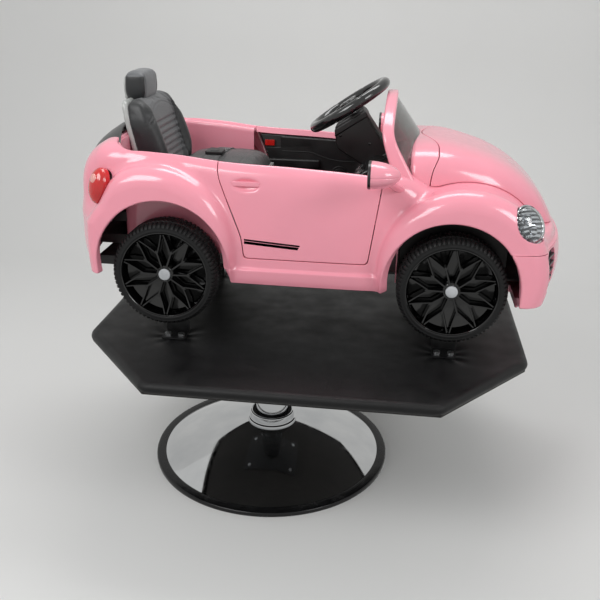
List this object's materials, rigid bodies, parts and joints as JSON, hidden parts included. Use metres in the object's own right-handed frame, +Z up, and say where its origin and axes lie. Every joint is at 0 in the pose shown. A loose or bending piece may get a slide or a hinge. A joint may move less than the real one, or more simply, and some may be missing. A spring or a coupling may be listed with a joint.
{
  "type": "kids car barber chair",
  "caption": "Ride-on toy car body on a padded octagonal deck and a hydraulic pedestal with a domed disc base, for seating a child at a haircut.",
  "frame": {"origin": "on the floor under the axis of the lift column", "axes": "+Z up, +X towards the car's front, +Y to the car's left"},
  "size_m": [1.1577, 0.964, 1.0426],
  "materials": {
    "chrome": "mirror polished",
    "edge_trim": "glossy black",
    "black_rubber": "matt",
    "pump_steel": "satin black",
    "black_steel": "satin black powder coat",
    "bright_steel": "bright zinc",
    "plywood": "black-stained plywood",
    "deck_vinyl": "fine-grained black vinyl",
    "tyre": "moulded, dull",
    "wheel_black": "glossy black",
    "black_plastic": "satin, moulded",
    "pink_body": "glossy, moulded",
    "grille_black": "satin",
    "tinted_pane": "smoked, glossy",
    "dash_black": "glossy, faceted",
    "lamp_bezel": "vacuum metallised",
    "lamp_lens": "clear",
    "tail_lens": "translucent red",
    "mirror_glass": "silvered",
    "seat_grey": "satin light grey",
    "seat_leather": "dark grey, sewn",
    "belt_webbing": "woven",
    "spoiler_grey": "satin dark grey",
    "steering_black": "glossy black",
    "latch_red": "glossy red"
  },
  "bodies": {
    "base": {"base_disc": "chrome", "base_edge_ring": "edge_trim", "base_collar": "chrome", "collar_seal": "black_rubber", "pump_cylinder": "pump_steel", "pedal_bracket": "black_steel", "pedal_pin": "bright_steel"},
    "pedal": {"pump_pedal": "chrome", "pedal_pad": "black_rubber"},
    "lift": {"lift_column": "chrome", "piston_rod": "chrome"},
    "deck": {"mounting_plate": "black_steel", "plate_bolts": "bright_steel", "deck_board": "plywood", "deck_pad": "deck_vinyl", "rear_axle": "bright_steel", "front_axle": "bright_steel", "axle_brackets": "black_steel", "bracket_bolts": "bright_steel", "chassis": "black_plastic", "body_shell": "pink_body", "hood": "pink_body", "front_bumper": "pink_body", "front_grilles": "grille_black", "headlight_bezels": "lamp_bezel", "headlight_lenses": "lamp_lens", "tail_lights": "tail_lens", "windshield_frame": "pink_body", "windshield_pane": "tinted_pane", "dashboard": "dash_black", "column_cover": "black_plastic", "seat_shell": "seat_grey", "seat_cushion": "seat_leather", "seat_back": "seat_leather", "headrest": "seat_leather", "lap_belt": "belt_webbing", "belt_buckle": "black_plastic", "mirror_right": "pink_body", "mirror_left": "pink_body", "mirror_glasses": "mirror_glass", "spoiler": "spoiler_grey", "door_hinge_rods": "bright_steel"},
    "steering": {"steering_rim": "steering_black", "steering_hub": "steering_black", "steering_shaft": "bright_steel"},
    "horn": {"horn_pad": "steering_black"},
    "door_right": {"door_right": "pink_body", "door_panel_right": "black_plastic"},
    "latch_right": {"latch_right": "latch_red"},
    "wheel_rear_right": {"tyre_rear_right": "tyre", "rim_rear_right": "wheel_black"},
    "wheel_front_right": {"tyre_front_right": "tyre", "rim_front_right": "wheel_black"},
    "door_left": {"door_left": "pink_body", "door_panel_left": "black_plastic"},
    "latch_left": {"latch_left": "latch_red"},
    "wheel_rear_left": {"tyre_rear_left": "tyre", "rim_rear_left": "wheel_black"},
    "wheel_front_left": {"tyre_front_left": "tyre", "rim_front_left": "wheel_black"}
  },
  "joints": [
    {"name": "pedal_press", "type": "hinge", "parent": "base", "child": "pedal", "pos_m": [0, 0.075, 0.111], "axis": [1, 0, 0], "range_deg": [-8, 0], "stiffness_Nm_per_rad": 20, "springref_deg": 11.46},
    {"name": "column_lift", "type": "slide", "parent": "base", "child": "lift", "axis": [0, 0, 1], "range_m": [0, 0.15]},
    {"name": "deck_turn", "type": "hinge", "parent": "lift", "child": "deck", "pos_m": [0, 0, 0.38], "axis": [0, 0, 1], "continuous": true},
    {"name": "steering_turn", "type": "hinge", "parent": "deck", "child": "steering", "pos_m": [0.185, 0, 0.974], "axis": [-0.5534, 0, 0.8329], "range_deg": [-60, 60]},
    {"name": "horn_press", "type": "slide", "parent": "steering", "child": "horn", "axis": [-0.5534, 0, 0.8329], "range_m": [-0.003, 0], "stiffness_N_per_m": 400, "springref_m": 0.004},
    {"name": "door_right_hinge", "type": "hinge", "parent": "deck", "child": "door_right", "pos_m": [0.235, -0.256, 0.74], "axis": [0, 0, 1], "range_deg": [0, 60]},
    {"name": "latch_right_slide", "type": "slide", "parent": "door_right", "child": "latch_right", "axis": [1, 0, 0], "range_m": [0, 0.012], "stiffness_N_per_m": 150, "springref_m": -0.004},
    {"name": "wheel_rear_right_spin", "type": "hinge", "parent": "deck", "child": "wheel_rear_right", "pos_m": [-0.204, -0.26, 0.62], "axis": [0, 1, 0], "continuous": true},
    {"name": "wheel_front_right_spin", "type": "hinge", "parent": "deck", "child": "wheel_front_right", "pos_m": [0.443, -0.26, 0.62], "axis": [0, 1, 0], "continuous": true},
    {"name": "door_left_hinge", "type": "hinge", "parent": "deck", "child": "door_left", "pos_m": [0.235, 0.256, 0.74], "axis": [0, 0, -1], "range_deg": [0, 60]},
    {"name": "latch_left_slide", "type": "slide", "parent": "door_left", "child": "latch_left", "axis": [1, 0, 0], "range_m": [0, 0.012], "stiffness_N_per_m": 150, "springref_m": -0.004},
    {"name": "wheel_rear_left_spin", "type": "hinge", "parent": "deck", "child": "wheel_rear_left", "pos_m": [-0.204, 0.26, 0.62], "axis": [0, 1, 0], "continuous": true},
    {"name": "wheel_front_left_spin", "type": "hinge", "parent": "deck", "child": "wheel_front_left", "pos_m": [0.443, 0.26, 0.62], "axis": [0, 1, 0], "continuous": true}
  ]
}
